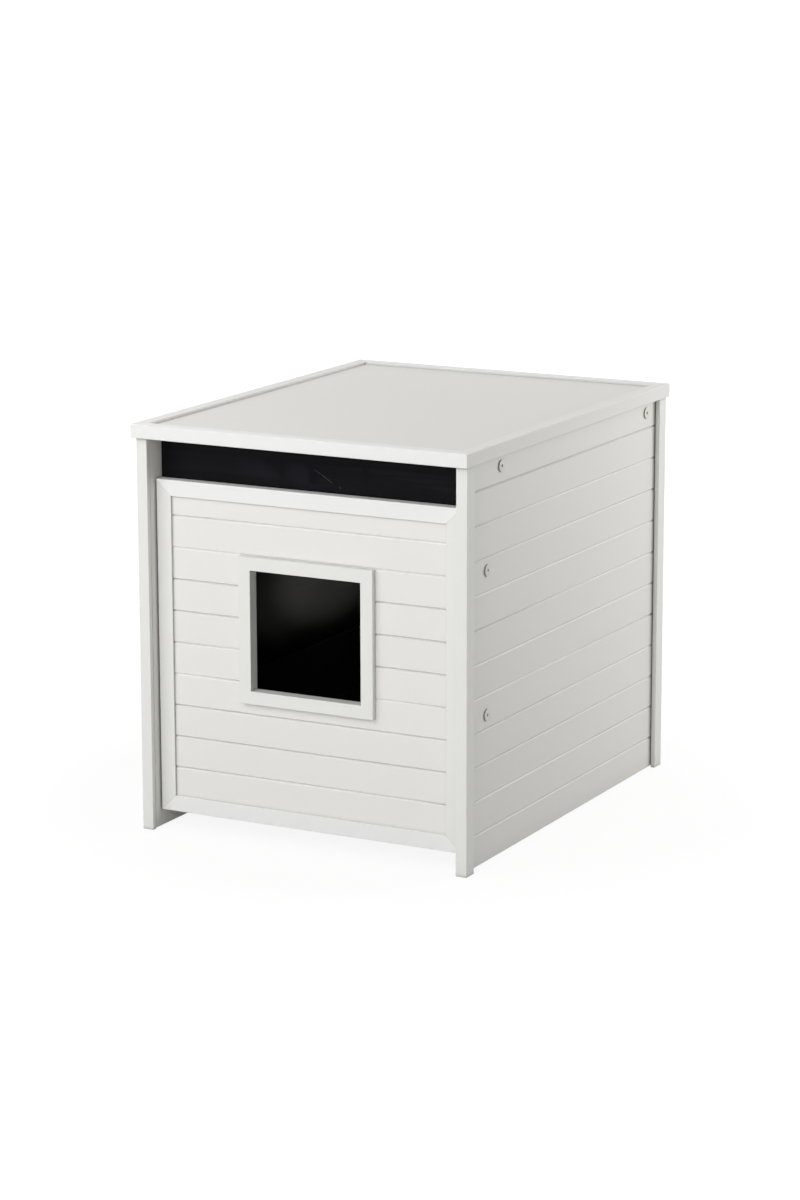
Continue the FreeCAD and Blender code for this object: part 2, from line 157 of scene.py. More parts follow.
sprayed = {  # lengths in metres, as the shader's place is
    "ior": 1.46, "cloudRough": 0.08, "sagRough": 0.06, "sagHeight": 0.00010, "paintedShadeSamples": 6,
    "drift": {"scale": 3.2, "detail": 1.5},
    "cloud": {"scale": 16.0, "detail": 3.0, "seed": 4.0},
    "streak": {"scale": 30.0, "detail": 3.0, "seed": 9.0},
    "fineDots": {"spacing": 0.035, "size": 0.0009, "kept": 0.12},
    "wideDots": {"spacing": 0.11, "size": 0.0016, "kept": 0.16, "seed": 7.0},
    "orangePeel": {"scale": 620.0, "detail": 1.0, "seed": 2.0},
    "sag": {"scale": 45.0, "detail": 2.0, "seed": 6.0},
}


# sprayed white: slow tone changes, a trace of streak along the length, orange peel and rare specks, with
# painted shade in grooves and inner corners
def whitePaint(name, paint):
    finish = Finish(name, **{"IOR": sprayed["ior"], "Specular IOR Level": paint["shine"]})
    drift = finish.noise(**sprayed["drift"]) - 0.5
    cloud = finish.noise(**sprayed["cloud"]) - 0.5
    streak = finish.noise(stretch=paint["grain"], **sprayed["streak"]) - 0.5
    tone = 1.0 + drift * paint["drift"] + cloud * paint["cloud"] + streak * paint["streak"]
    if "pitch" in paint:  # every board has a shade of its own
        number = ((finish.z - paint["first"] * mm) / (paint["pitch"] * mm)).maths("FLOOR")
        own = finish.node("ShaderNodeTexWhiteNoise", {"noise_dimensions": "1D"}, {"W": number})
        tone = tone + (own - 0.5) * paint["boardShade"]
    dots = finish.specks(**sprayed["fineDots"]) + finish.specks(**sprayed["wideDots"])
    tone = tone * (1 - dots * paint["speck"])
    for reach, shadeDepth in paint["paintedCreviceShade"]:  # painted shade: the colour darkens in grooves and inner corners, the more the nearer they close over
        bare = finish.node("ShaderNodeAmbientOcclusion", {"samples": sprayed["paintedShadeSamples"]},
                           {"Distance": reach * mm}, output=1)
        tone = tone * (1 - (1 - bare) * shadeDepth)
    shade = finish.node("ShaderNodeCombineXYZ", {}, {0: tone, 1: tone, 2: tone})
    colour = finish.blend(1.0, tint(*paint["colour"]), shade, "MULTIPLY")
    peel = finish.noise(**sprayed["orangePeel"])
    sag = finish.noise(**sprayed["sag"])
    rough = paint["rough"] + cloud * sprayed["cloudRough"] + (sag - 0.5) * sprayed["sagRough"]
    relief = finish.bump(sag, sprayed["sagHeight"], before=finish.bump(peel, paint["peel"]))
    return finish.feed(Base_Color=colour, Roughness=rough, Normal=relief)


boardPaint = {"colour": (229, 228, 223), "drift": 0.012, "cloud": 0.010, "streak": 0.010, "speck": 0.16,
              "shine": 0.45, "rough": 0.46, "peel": 0.00003, "first": 45.4, "pitch": 45.7, "boardShade": 0.010}
framePaint = {"drift": 0.010, "cloud": 0.006, "streak": 0.006, "speck": 0.12, "shine": 0.48, "rough": 0.38,
              "peel": 0.00002}
# the crevice entries give (reach in mm, darkening) of painted shade laid into grooves and inner corners
paints = {
    "sideBoards": {**boardPaint, "grain": (1, 0.06, 1), "paintedCreviceShade": [(5, 0.26), (30, 0.12)]},
    "doorBoards": {**boardPaint, "colour": (229, 228, 224), "grain": (0.06, 1, 1), "paintedCreviceShade": [(4, 0.22)],
                   "cloud": 0.008, "streak": 0.008, "rough": 0.44, "first": 86.7, "pitch": 43.5,
                   "boardShade": 0.008},
    "backBoards": {**boardPaint, "grain": (0.06, 1, 1), "paintedCreviceShade": [(5, 0.55)]},
    "uprights": {**framePaint, "colour": (228, 228, 224), "grain": (1, 1, 0.06),
                 "paintedCreviceShade": [(5, 0.60), (30, 0.12)], "drift": 0.012, "rough": 0.40},
    "sideRails": {**framePaint, "colour": (227, 226, 222), "grain": (1, 0.06, 1), "paintedCreviceShade": [(5, 0.45)]},
    "rails": {**framePaint, "colour": (233, 233, 231), "grain": (0.06, 1, 1), "paintedCreviceShade": [(5, 0.45)]},
    "topPanel": {"colour": (226, 225, 221), "grain": (1, 0.08, 1), "paintedCreviceShade": [(4, 0.30)], "drift": 0.012,
                 "cloud": 0.008, "streak": 0.006, "speck": 0.22, "shine": 0.40, "rough": 0.48,
                 "peel": 0.00003},
}
paintOf = {name: whitePaint(name + "Paint", paint) for name, paint in paints.items()}


satin = {
    "ior": 1.48, "dustRough": 0.14, "poreRough": 0.06, "poreHeight": 0.00003,
    "mottle": {"scale": 9.0, "stretch": (1, 1, 1.6), "detail": 4.0, "roughness": 0.6, "seed": 3.0},
    "smudge": {"scale": 5.0, "stretch": (0.45, 0.45, 2.4), "detail": 5.0, "roughness": 0.65, "seed": 8.0},
    "wipes": {"scale": 60.0, "stretch": (0.03, 0.03, 2.6), "detail": 3.0, "seed": 5.0},
    "warmth": {"scale": 6.0, "detail": 2.0, "seed": 12.0}, "warmRange": (0.35, 0.65),
    "pores": {"scale": 900.0, "detail": 1.0, "seed": 1.0},
    "mottleRange": (0.42, 0.78), "mottleDust": 0.35, "smudgeRange": (0.48, 0.80), "smudgeDust": 0.45,
    "wipesRange": (0.40, 0.70), "wipesDust": 0.45,
    "ragged": 0.9, "spotRange": (0.15, 1.0), "scratchCore": 0.4, "scratchEnd": 1.0, "scratchShare": 0.8,
}


# satin black sheet: mottled and streaked along its length, with lighter and darker soft ovals at listed places
# on its front face, and fine scratches
def blackSheet(name, sheet):
    finish = Finish(name, **{"IOR": satin["ior"], "Specular IOR Level": sheet["shine"]})
    mottle = finish.noise(**satin["mottle"])
    smudge = finish.noise(**satin["smudge"])
    wipes = finish.noise(**satin["wipes"])
    warm = finish.noise(**satin["warmth"]).fade(*satin["warmRange"])
    dusty = mottle.fade(*satin["mottleRange"]) * satin["mottleDust"]
    dusty = dusty + smudge.fade(*satin["smudgeRange"]) * satin["smudgeDust"]
    dusty = dusty + wipes.fade(*satin["wipesRange"]) * satin["wipesDust"]
    colour = finish.blend(dusty, finish.blend(warm, sheet["cool"], sheet["warm"]), sheet["dust"])
    front = finish.y < sheet["frontOf"] * mm

    def spot(x, z, wide, high):  # 1 in the middle of a soft oval on the front face, 0 outside
        across = (finish.x - x * mm) / (wide * mm)
        up = (finish.z - z * mm) / (high * mm)
        ragged = (mottle - 0.5) * satin["ragged"]
        return (1 - (across * across + up * up + ragged).fade(*satin["spotRange"])) * front

    for marks in sheet["marks"]:
        for x, z, wide, high, strength in marks["spots"]:
            colour = finish.blend(spot(x, z, wide, high) * strength, colour, marks["colour"])
    end = satin["scratchEnd"]
    for startX, startZ, endX, endZ, half in sheet["scratches"]:
        long = math.hypot(endX - startX, endZ - startZ)
        alongX, alongZ = (endX - startX) / long, (endZ - startZ) / long
        along = (finish.x - startX * mm) * alongX + (finish.z - startZ * mm) * alongZ
        off = abs((finish.x - startX * mm) * alongZ - (finish.z - startZ * mm) * alongX)
        line = (1 - off.fade(half * satin["scratchCore"] * mm, half * mm)) * along.fade(-end * mm, end * mm)
        line = line * (1 - along.fade((long - end) * mm, (long + end) * mm)) * front
        colour = finish.blend(line * satin["scratchShare"], colour, sheet["scratchColour"])
    pores = finish.noise(**satin["pores"])
    rough = sheet["rough"] + dusty * satin["dustRough"] + (pores - 0.5) * satin["poreRough"]
    return finish.feed(Base_Color=colour, Roughness=rough, Normal=finish.bump(pores, satin["poreHeight"]))


boardLook = {  # spots are x, z, half width, half height and strength; scratches are start, end and half width
    "cool": (0.0036, 0.0038, 0.0050, 1.0), "warm": (0.0041, 0.0038, 0.0049, 1.0),
    "dust": (0.0074, 0.0074, 0.0086, 1.0), "shine": 0.05, "rough": 0.42, "frontOf": -274.0,
    "marks": [
        {"colour": (0.0100, 0.0092, 0.0142, 1.0),
         "spots": [(-86, 507, 30, 14, 0.45), (-66, 499, 22, 8, 0.35), (-18, 504, 24, 15, 0.50),
                   (-10, 489, 20, 8, 0.35), (30, 489, 60, 8, 0.25), (120, 518, 90, 4, 0.35),
                   (165, 511, 60, 3, 0.40), (190, 503, 45, 3, 0.30)]},
        {"colour": (0.0030, 0.0031, 0.0040, 1.0),
         "spots": [(-55, 518, 20, 9, 0.8), (2, 503, 9, 15, 0.8), (-44, 506, 5, 14, 0.5), (81, 512, 8, 14, 0.7),
                   (-150, 492, 75, 7, 0.7), (150, 497, 90, 8, 0.4)]},
    ],
    "scratches": [(15.5, 506.1, 30.4, 496.8, 0.6), (41.2, 492.0, 43.0, 490.6, 0.9),
                  (4.0, 512.0, 15.0, 506.5, 0.4)],
    "scratchColour": (0.055, 0.055, 0.058, 1.0),
}
crossboardFinish = blackSheet("crossboardSheet", boardLook)
# painted light: the black sheet inside the cabinet gets a base several times lighter than the crossboard's
# black, with a warm tint, standing for light the shaded inside lacks
linerPaintedLightLook = {
    "cool": (0.021, 0.021, 0.021, 1.0), "warm": (0.024, 0.0235, 0.0205, 1.0),
    "dust": (0.031, 0.0305, 0.029, 1.0), "shine": 0.12, "rough": 0.46, "frontOf": -274.0, "marks": [],
    "scratches": [],
}
linerPaintedLightFinish = blackSheet("linerSheetPaintedLight", linerPaintedLightLook)


moulded = {
    "ior": 1.5, "shine": 0.5,
    "spark": {"scale": 1100.0, "detail": 2.0, "seed": 2.0}, "sparkRough": 0.10, "sparkHeight": 0.00004,
    "scuff": {"scale": 14.0, "stretch": (1, 1, 0.4), "detail": 6.0, "roughness": 0.7, "seed": 5.0},
    "scuffRange": (0.52, 0.80), "scuffShare": 0.55, "scuffRough": 0.16,
}


# moulded black plastic, with a fine spark texture and scuffs
def mouldedPlastic(name, look):
    finish = Finish(name, **{"IOR": moulded["ior"], "Specular IOR Level": moulded["shine"]})
    spark = finish.noise(**moulded["spark"])
    scuff = finish.noise(**moulded["scuff"]).fade(*moulded["scuffRange"])
    colour = finish.blend(scuff * moulded["scuffShare"], look["colour"], look["worn"])
    rough = look["rough"] + scuff * moulded["scuffRough"] + (spark - 0.5) * moulded["sparkRough"]
    return finish.feed(Base_Color=colour, Roughness=rough, Normal=finish.bump(spark, moulded["sparkHeight"]))


trayLook = {"colour": (0.010, 0.010, 0.011, 1.0), "worn": (0.022, 0.022, 0.023, 1.0), "rough": 0.36}
trayFinish = mouldedPlastic("trayPlastic", trayLook)
magnetLook = {"colour": (0.030, 0.030, 0.033, 1.0), "worn": (0.055, 0.055, 0.058, 1.0), "rough": 0.45}
magnetFinish = mouldedPlastic("magnetPlastic", magnetLook)


# zinc plating: clouded, brushed one way, duller in patches
def zincPlating(name, look):
    finish = Finish(name, Metallic=1.0)
    cloud = finish.noise(**look["cloud"])
    brush = finish.noise(**look["brush"])
    tarnish = finish.noise(**look["tarnish"]).fade(*look["tarnishRange"])
    colour = finish.blend(tarnish * look["tarnishShare"], look["bright"], look["dull"])
    rough = look["rough"] + cloud * look["cloudRough"] + (brush - 0.5) * look["brushRough"]
    rough = rough + tarnish * look["tarnishRough"]
    relief = finish.bump(brush, look["brushHeight"], look["brushStrength"])
    return finish.feed(Base_Color=colour, Roughness=rough, Normal=relief)


zincLook = {
    "bright": (0.66, 0.66, 0.67, 1.0), "dull": (0.50, 0.50, 0.49, 1.0), "rough": 0.30,
    "cloud": {"scale": 120.0, "detail": 4.0, "roughness": 0.6, "seed": 1.0}, "cloudRough": 0.12,
    "brush": {"scale": 600.0, "stretch": (1, 1, 0.04), "detail": 3.0, "seed": 4.0}, "brushRough": 0.12,
    "brushHeight": 0.00002, "brushStrength": 0.6,
    "tarnish": {"scale": 40.0, "detail": 3.0, "seed": 8.0}, "tarnishRange": (0.50, 0.75),
    "tarnishShare": 0.6, "tarnishRough": 0.08,
}
zincFinish = zincPlating("zincPlating", zincLook)


# painted bolt heads: white enamel over steel with chips of bare steel; the side below the face is painted dark
# steel colour as painted shade on the rim
def headEnamel(name, look):
    finish = Finish(name, **{"IOR": look["ior"], "Specular IOR Level": look["shine"]})
    cloud = finish.noise(**look["cloud"])
    chips = finish.specks(**look["chips"])
    shaded = cloud.fade(*look["cloudRange"]) * look["cloudShare"]
    colour = finish.blend(shaded, look["colour"], look["shaded"])
    colour = finish.blend(chips * look["chipShare"], colour, look["steelChipsAndRimShade"])
    # painted shade: below its face the head takes the dark steel colour, standing for the shade on its rim
    rim = 1 - abs(finish.x).fade((look["face"] - look["rim"]) * mm, look["face"] * mm)
    colour = finish.blend(rim, colour, look["steelChipsAndRimShade"])
    rough = look["rough"] + cloud * look["cloudRough"]
    relief = finish.bump(cloud, look["cloudHeight"], look["reliefStrength"])
    return finish.feed(Base_Color=colour, Roughness=rough, Normal=relief)


headLook = {
    "colour": tint(224, 222, 214), "shaded": tint(214, 211, 202), "steelChipsAndRimShade": (0.26, 0.25, 0.235, 1.0),
    "ior": 1.5, "shine": 0.5, "rough": 0.34, "face": 240.9, "rim": 0.6,
    "cloud": {"scale": 90.0, "detail": 3.0, "seed": 3.0}, "cloudRange": (0.35, 0.75), "cloudShare": 0.35,
    "cloudRough": 0.12, "cloudHeight": 0.00005, "reliefStrength": 0.8,
    "chips": {"spacing": 0.006, "size": 0.0005, "kept": 0.10}, "chipShare": 0.5,
}
headFinish = headEnamel("headEnamel", headLook)
print("finishes made")


normalWeight = 80  # how far large faces rule the shading of an eased arris


# a mesh made into a piece that rides on its body
def asPiece(shape, name, body, material):
    mesh = bpy.data.meshes.new(name)
    shape.to_mesh(mesh)
    shape.free()
    mesh.materials.clear()
    mesh.materials.append(material)
    for face in mesh.polygons:
        face.material_index = 0
        face.use_smooth = True
    piece = bpy.data.objects.new(name, mesh)
    bpy.context.scene.collection.objects.link(piece)
    normals = piece.modifiers.new("edgeLight", "WEIGHTED_NORMAL")
    normals.keep_sharp = False
    normals.weight = normalWeight
    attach(piece, body)
    return piece


arrises = {"weld": 0.002, "flat": 0.5, "sharpest": 32.0, "segments": 2}  # mm, degrees, degrees, count


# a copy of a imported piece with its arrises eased, as sanding and paint leave them
def eased(node, material, edge):
    shape = bmesh.new()
    shape.from_mesh(nodes[node].data)
    bmesh.ops.remove_doubles(shape, verts=shape.verts, dist=arrises["weld"] * mm)
    bmesh.ops.dissolve_limit(shape, angle_limit=math.radians(arrises["flat"]), verts=shape.verts,
                             edges=shape.edges)
    sharp = [arris for arris in shape.edges
             if len(arris.link_faces) == 2 and arris.calc_face_angle() > math.radians(arrises["sharpest"])]
    bmesh.ops.bevel(shape, geom=sharp, offset=edge * mm, offset_type="OFFSET", segments=arrises["segments"],
                    profile=0.5, affect="EDGES", clamp_overlap=True, material=-1)
    words = node.split("_")
    piece = asPiece(shape, words[0] + "".join(word.capitalize() for word in words[1:]) + "Eased",
                    bodyOfNode[node], material)
    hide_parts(node)


easing = [  # nodes, slot, finish, arris in mm
    (["top_rail_front", "top_rail_back"], "white_frame", paintOf["rails"], 0.35),
    (["top_rail_right", "top_rail_left"], "white_frame", paintOf["sideRails"], 0.35),
    (["top_panel"], "top_surface", paintOf["topPanel"], 0.5),
    (["front_post_left", "front_post_right", "rear_post_left", "rear_post_right"], "white_frame",
     paintOf["uprights"], 0.5),
    (["back_stile_left", "back_stile_right"], "white_frame", paintOf["uprights"], 0.5),
    (["right_wall_boards", "left_wall_boards"], "white_board", paintOf["sideBoards"], 0.5),
    (["back_wall_boards"], "white_board", paintOf["backBoards"], 0.5),
    (["door_boards"], "white_board", paintOf["doorBoards"], 0.5),
    (["door_rail_bottom", "door_rail_top"], "white_frame", paintOf["rails"], 0.4),
    (["door_stile_left", "door_stile_right"], "white_frame", paintOf["uprights"], 0.4),
    (["cat_opening_trim"], "white_frame", paintOf["uprights"], 0.4),
    (["front_crossboard"], "black_panel", crossboardFinish, 0.4),
    (["trim_back_ring", "wall_liner_left", "wall_liner_right", "wall_liner_back", "floor_panel",
      "floor_cleats", "top_batten_left", "top_batten_right", "corner_batten_left", "corner_batten_right"],
     "black_panel", linerPaintedLightFinish, 0.4),
    (["hinge_fixed_leaf_lower", "hinge_fixed_leaf_upper", "hinge_moving_leaf_lower",
      "hinge_moving_leaf_upper", "strike_plate"], "zinc_steel", zincFinish, 0.15),
    (["hinge_bolt_nuts"], "zinc_steel", zincFinish, 0.25),
]
for held, slotName, coat, arris in easing:
    for nodeName in held:
        eased(nodeName, coat, arris)
print("pieces eased:", sum(len(held) for held, slotName, coat, arris in easing))


crossArm = {"halfWidth": 0.34, "leastSine": 0.02}  # of the recess, as shares of its radius


# how far a form reaches from its axis in a direction: a circle, a hexagon or a cross with rounded arms
def reachOf(form, radius, angle):
    if form == "hexagon":
        return radius / math.cos(angle % math.radians(60) - math.radians(30))
    if form == "cross":
        folded = abs((angle + math.radians(45)) % math.radians(90) - math.radians(45))
        slant = max(math.sin(folded), crossArm["leastSine"])
        return min(radius / math.cos(folded), radius * crossArm["halfWidth"] / slant)
    return radius


# a round face grown step by step: each step is (radius, height, form); corners keep their centres at (x, y)
def grown(shape, steps, place, corner=(0.0, 0.0), sides=48):
    half = math.pi / sides
    made = bmesh.ops.create_circle(shape, cap_ends=True, segments=sides, radius=1.0,
                                   matrix=Matrix.Rotation(half, 4, "Z"))
    ring = made["verts"]
    facing = {vert: math.atan2(vert.co.y, vert.co.x) for vert in ring}
    face = ring[0].link_faces[0]
    held = list(ring)
    for number, step in enumerate(steps):
        if number:
            grownPart = bmesh.ops.extrude_face_region(shape, geom=[face])["geom"]
            if number > 1:  # the first face stays as the end of the form
                bmesh.ops.delete(shape, geom=[face], context="FACES_ONLY")
            face = [part for part in grownPart if isinstance(part, bmesh.types.BMFace)][0]
            moved = [part for part in grownPart if isinstance(part, bmesh.types.BMVert)]
            near = {tuple(vert.co): angle for vert, angle in facing.items()}
            facing = {vert: near[tuple(vert.co)] for vert in moved}
            held += moved
        radius, height = step[0] * mm, step[1] * mm
        for vert, angle in facing.items():
            reach = reachOf(step[2] if len(step) > 2 else "circle", radius, angle)
            vert.co = (math.copysign(corner[0] * mm, math.cos(angle)) + reach * math.cos(angle),
                       math.copysign(corner[1] * mm, math.sin(angle)) + reach * math.sin(angle), height)
    bmesh.ops.transform(shape, matrix=place, verts=held)


# from the tool's own +Z to a place in mm and a direction
def setAt(point, direction):
    turn = Vector(direction).to_track_quat("Z", "Y").to_matrix().to_4x4()
    return Matrix.Translation(Vector(point) * mm) @ turn


def finished(shape, name, body, material, node=None):
    bmesh.ops.recalc_face_normals(shape, faces=shape.faces)
    piece = asPiece(shape, name, body, material)
    if node:
        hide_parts(node)


thread = {"tip": 0.35, "start": 0.85, "root": 0.86, "crestAt": 0.35, "rootAt": 0.85}  # of radius and pitch


# a shank with rings for its thread, from the tip at -length up to just under the head
def shankSteps(radius, length, pitch, plain):
    steps = [(radius * thread["tip"], -length), (radius * thread["start"], -length + pitch)]
    height = -length + pitch
    while height + pitch < -plain:
        steps += [(radius, height + pitch * thread["crestAt"]),
                  (radius * thread["root"], height + pitch * thread["rootAt"])]
        height += pitch
    return steps + [(radius, -plain), (radius, 0.0)]


bolts = {  # the crown is (in from the rim, down from the top)
    "headRadius": 8.0, "headHeight": 2.0, "shankRadius": 2.98, "pitch": 1.6, "plainShare": 0.35,
    "rimIn": 0.4, "rimHeight": 0.25, "crown": [(0.0, 0.75), (0.22, 0.30), (0.75, 0.04), (1.3, 0.0)],
    "socket": 2.0, "socketLip": 0.35, "lipDepth": 0.25, "socketDepth": 1.5, "coneHeight": 0.3, "coneEnd": 0.4,
    "wallSeat": 239.1, "wallLength": 30.6, "wallSpots": [(-200.5, 525.0), (262.5, 525.0)],
    "hingeLength": 13.6, "hingeSpots": [(-240.4, 201.4), (-240.4, 394.2)],
}


# the shank, then the head: the rim, a flat crown and a hexagon socket
def boltSteps(length):
    wide, high, socket = bolts["headRadius"], bolts["headHeight"], bolts["socket"]
    floor = high - bolts["socketDepth"]
    steps = shankSteps(bolts["shankRadius"], length, bolts["pitch"], length * bolts["plainShare"])
    steps += [(wide - bolts["rimIn"], 0.0), (wide, bolts["rimHeight"])]
    steps += [(wide - inward, high - down) for inward, down in bolts["crown"]]
    hollow = [(socket + bolts["socketLip"], high), (socket, high - bolts["lipDepth"]),
              (socket, floor + bolts["coneHeight"]), (bolts["coneEnd"], floor)]
    return steps + [(radius, height, "hexagon") for radius, height in hollow]


wallBolts = bmesh.new()
for y, z in bolts["wallSpots"]:
    for side in (1, -1):
        grown(wallBolts, boltSteps(bolts["wallLength"]), setAt((side * bolts["wallSeat"], y, z), (side, 0, 0)))
finished(wallBolts, "wallBoltsTurned", "cabinet", headFinish, "wall_bolts")
hingeBolts = bmesh.new()
for y, z in bolts["hingeSpots"]:
    grown(hingeBolts, boltSteps(bolts["hingeLength"]), setAt((bolts["wallSeat"], y, z), (1, 0, 0)))
finished(hingeBolts, "hingeBoltsTurned", "cabinet", headFinish, "hinge_bolts")
print("bolts made")


pins = {  # the crown is (share of the head's radius, height over its seat)
    "x": 227.4, "y": -295.4, "radius": 1.5, "half": 25.0, "heights": [201.4, 394.2], "sides": 32,
    "pointRadius": 0.9, "pointHeight": 0.6, "headRadius": 2.3, "seatIn": 0.1,
    "crown": [(1.0, 0.15), (0.88, 0.45), (0.55, 0.72), (0.2, 0.8)],
}
pinSteps = [(pins["pointRadius"], -pins["half"]), (pins["radius"], -pins["half"] + pins["pointHeight"]),
            (pins["radius"], pins["half"]), (pins["headRadius"] - pins["seatIn"], pins["half"])]
pinSteps += [(pins["headRadius"] * share, pins["half"] + height) for share, height in pins["crown"]]
hingePins = bmesh.new()
for z in pins["heights"]:
    grown(hingePins, pinSteps, setAt((pins["x"], pins["y"], z), (0, 0, 1)), sides=pins["sides"])
finished(hingePins, "hingePinsTurned", "cabinet", zincFinish, "hinge_pins")


# steel cup with a ring groove round its magnet; the profile is (radius, height over the back)
catch = {
    "x": -188.5, "back": -266.7, "z": 472.3,
    "profile": [(6.5, 0.0), (7.0, 0.5), (7.0, 8.5), (6.85, 8.88), (6.55, 9.0), (6.0, 9.0), (5.8, 8.4),
                (5.3, 8.4), (5.2, 8.65), (4.95, 8.9), (4.7, 8.9)],
}
magnet = bmesh.new()
grown(magnet, catch["profile"], setAt((catch["x"], catch["back"], catch["z"]), (0, -1, 0)))
finished(magnet, "magnetCup", "cabinet", magnetFinish, "magnet_catch")
print("pins and magnet made")


# litter tray: foot, leaning wall with a step, turned-down rim with a rolled edge, and the floor inside
tray = {"centre": (0.0, 15.5, 28.0), "corner": (157.0, 202.0), "sides": 64}
trayProfile = [  # (radius at the corners, height)
    (25.0, 0.6), (27.0, 0.0), (31.0, 0.0), (33.2, 0.7), (35.3, 2.6), (37.0, 6.0), (41.7, 57.0), (42.0, 60.0),
    (49.0, 136.0), (50.3, 141.0), (51.6, 142.7), (53.8, 143.0), (55.0, 142.2), (55.2, 137.6), (55.7, 137.0),
    (57.6, 137.0), (58.0, 137.5), (58.0, 143.2), (57.5, 144.9), (56.4, 145.8), (55.0, 146.0), (51.4, 146.0),
    (49.4, 145.4), (48.0, 144.0), (47.2, 141.8), (41.2, 62.5), (40.7, 60.4), (39.6, 59.0), (38.9, 57.4),
    (34.4, 10.0), (33.4, 6.6), (31.2, 4.0), (28.0, 3.0), (19.0, 3.0), (17.6, 3.3), (16.6, 4.1), (15.2, 4.4),
    (-30.0, 4.4), (-31.4, 4.1), (-32.4, 3.3), (-33.8, 3.0),
]
trayShape = bmesh.new()
grown(trayShape, trayProfile, Matrix.Translation(Vector(tray["centre"]) * mm), tray["corner"], tray["sides"])
finished(trayShape, "litterTrayMoulded", "cabinet", trayFinish, "litter_tray")
print("tray made")


# cross-recessed screws: spots are the seat of the head and the way it faces
screws = {
    "leaf": {"headRadius": 3.0, "headHeight": 0.12, "shank": 1.5, "length": 12.0, "flush": True},
    "shortLeaf": {"headRadius": 3.0, "headHeight": 0.12, "shank": 1.5, "length": 8.5, "flush": True},
    "pan": {"headRadius": 3.2, "headHeight": 1.5, "shank": 1.6, "length": 7.0, "flush": False},
    "batten": {"headRadius": 3.6, "headHeight": 0.15, "shank": 1.7, "length": 24.0, "flush": True},
}


screwForm = {  # the crown is (share of the head's radius, share of its height); the recess (share, depth)
    "pitch": 1.1, "plain": 1.0, "sides": 40, "seatIn": 0.05, "seatHeight": 0.02, "flat": 0.66,
    "crown": [(1.0, 0.35), (0.93, 0.72), (0.75, 0.94)], "recess": [(0.52, 0.0), (0.46, 0.35), (0.16, 1.1)],
}


def screwSteps(kind):
    wide, high, thin = kind["headRadius"], kind["headHeight"], kind["shank"]
    under = wide - thin if kind["flush"] else 0.0
    steps = shankSteps(thin, kind["length"], screwForm["pitch"], under + screwForm["plain"])[:-1]
    steps += [(thin, -under), (wide - screwForm["seatIn"], 0.0), (wide, screwForm["seatHeight"])]
    if not kind["flush"]:
        steps += [(wide * share, high * rise) for share, rise in screwForm["crown"]]
    steps.append((wide * screwForm["flat"], high))
    return steps + [(wide * share, high - depth, "cross") for share, depth in screwForm["recess"]]


def driveScrews(name, kind, spots, direction, body):
    shape = bmesh.new()
    for spot in spots:
        grown(shape, screwSteps(screws[kind]), setAt(spot, direction), sides=screwForm["sides"])
    finished(shape, name, body, zincFinish)


screwRows = {
    "doorLeaf": {"x": 229.0, "y": -281.5, "offsets": (-19.0, 0.0, 19.0)},
    "wallLeaf": {"x": 229.5, "depths": (-268.0, -252.0), "offsets": (-17.0, 17.0)},
    "ring": {"y": -276.7, "z": 290.5, "spots": [(-93.0, 70.0), (-93.0, 0.0), (-93.0, -70.0), (93.0, 70.0),
                                                (93.0, 0.0), (93.0, -70.0), (-40.0, 92.0), (40.0, 92.0),
                                                (-40.0, -92.0), (40.0, -92.0)]},
    "topBatten": {"x": 217.5, "z": 516.0, "depths": (-170.0, -40.0, 90.0, 215.0)},
    "cornerBatten": {"x": 218.5, "y": 279.0, "heights": (90.0, 270.0, 450.0)},
    "strike": {"y": -276.0},
}
row = screwRows["doorLeaf"]
leafScrews = [(row["x"], row["y"], z + offset) for z in pins["heights"] for offset in row["offsets"]]
driveScrews("doorLeafScrews", "leaf", leafScrews, (1, 0, 0), "door")
row = screwRows["wallLeaf"]
postScrews = [(row["x"], y, z + offset) for z in pins["heights"] for y in row["depths"]
              for offset in row["offsets"]]
driveScrews("wallLeafScrews", "shortLeaf", postScrews, (-1, 0, 0), "cabinet")
row = screwRows["ring"]
ringScrews = [(x, row["y"], row["z"] + z) for x, z in row["spots"]]
driveScrews("trimRingScrews", "pan", ringScrews, (0, 1, 0), "door")
row = screwRows["topBatten"]
battenScrews = [(side * row["x"], y, row["z"]) for side in (1, -1) for y in row["depths"]]
driveScrews("topBattenScrews", "batten", battenScrews, (0, 0, -1), "cabinet")
row = screwRows["cornerBatten"]
cornerScrews = [(side * row["x"], row["y"], z) for side in (1, -1) for z in row["heights"]]
driveScrews("cornerBattenScrews", "batten", cornerScrews, (0, -1, 0), "cabinet")
driveScrews("strikeScrew", "leaf", [(catch["x"], screwRows["strike"]["y"], catch["z"])], (0, 1, 0), "door")
print("screws driven")


